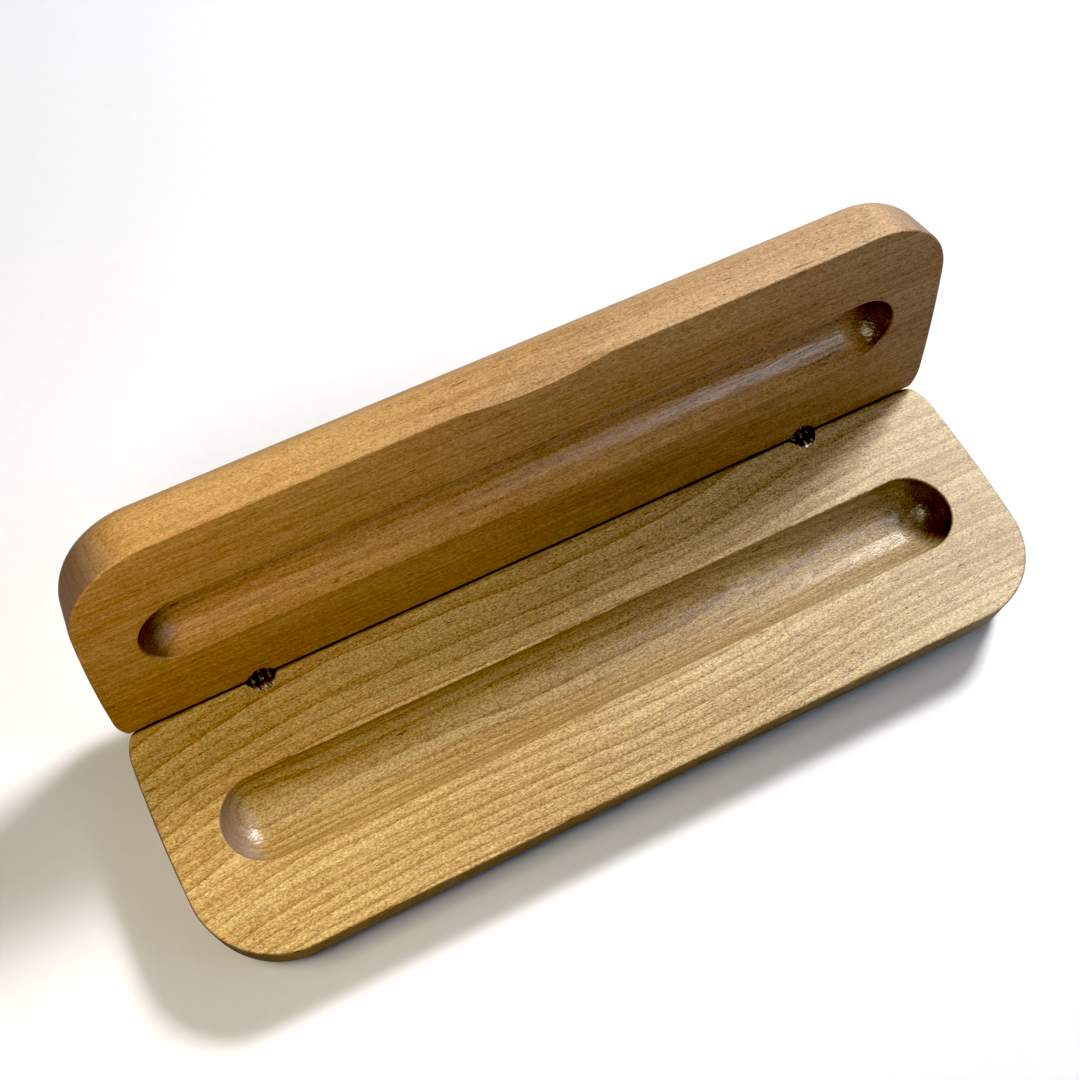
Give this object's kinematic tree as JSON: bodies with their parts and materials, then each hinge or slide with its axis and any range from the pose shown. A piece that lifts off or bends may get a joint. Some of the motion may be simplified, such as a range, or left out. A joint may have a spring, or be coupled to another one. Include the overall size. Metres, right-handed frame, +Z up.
{
  "type": "fountain pen case",
  "caption": "Hinged wooden pen case, standing open, with a half-round pen groove in the base and in the lid and a thumb scoop.",
  "frame": {"origin": "middle of the flat underside of the base, which stands on the table", "axes": "+X along the length of the case, +Y from the front edge towards the hinges, +Z up"},
  "size_m": [0.1772, 0.0712, 0.0649],
  "materials": {
    "wood": "satin lacquer over light maple or beech",
    "hinge_metal": "dark turned brass",
    "pin_metal": "plain steel"
  },
  "bodies": {
    "base": {"base_block": "wood", "left_base_barrel": "hinge_metal", "right_base_barrel": "hinge_metal", "left_base_pin": "pin_metal", "right_base_pin": "pin_metal"},
    "left_links": {"left_outer_link": "hinge_metal", "left_middle_link": "hinge_metal", "left_inner_link": "hinge_metal"},
    "right_links": {"right_outer_link": "hinge_metal", "right_middle_link": "hinge_metal", "right_inner_link": "hinge_metal"},
    "lid": {"lid_block": "wood", "left_lid_barrel": "hinge_metal", "right_lid_barrel": "hinge_metal", "left_lid_pin": "pin_metal", "right_lid_pin": "pin_metal"}
  },
  "joints": [
    {"name": "left_base_hinge", "type": "hinge", "parent": "base", "child": "left_links", "pos_m": [-0.06, 0.0223, 0.0111], "axis": [1, 0, 0], "range_deg": [0, 48.9]},
    {"name": "lid_hinge", "type": "hinge", "parent": "left_links", "child": "lid", "pos_m": [-0.06, 0.02678, 0.01501], "axis": [1, 0, 0], "range_deg": [0, 48.9]},
    {"name": "right_base_hinge", "type": "hinge", "parent": "base", "child": "right_links", "pos_m": [0.06, 0.0223, 0.0111], "axis": [1, 0, 0], "range_deg": [0, 48.9]}
  ],
  "couplings": [
    {"joint": "left_base_hinge", "follows": "lid_hinge", "ratio": 1},
    {"joint": "right_base_hinge", "follows": "lid_hinge", "ratio": 1}
  ]
}
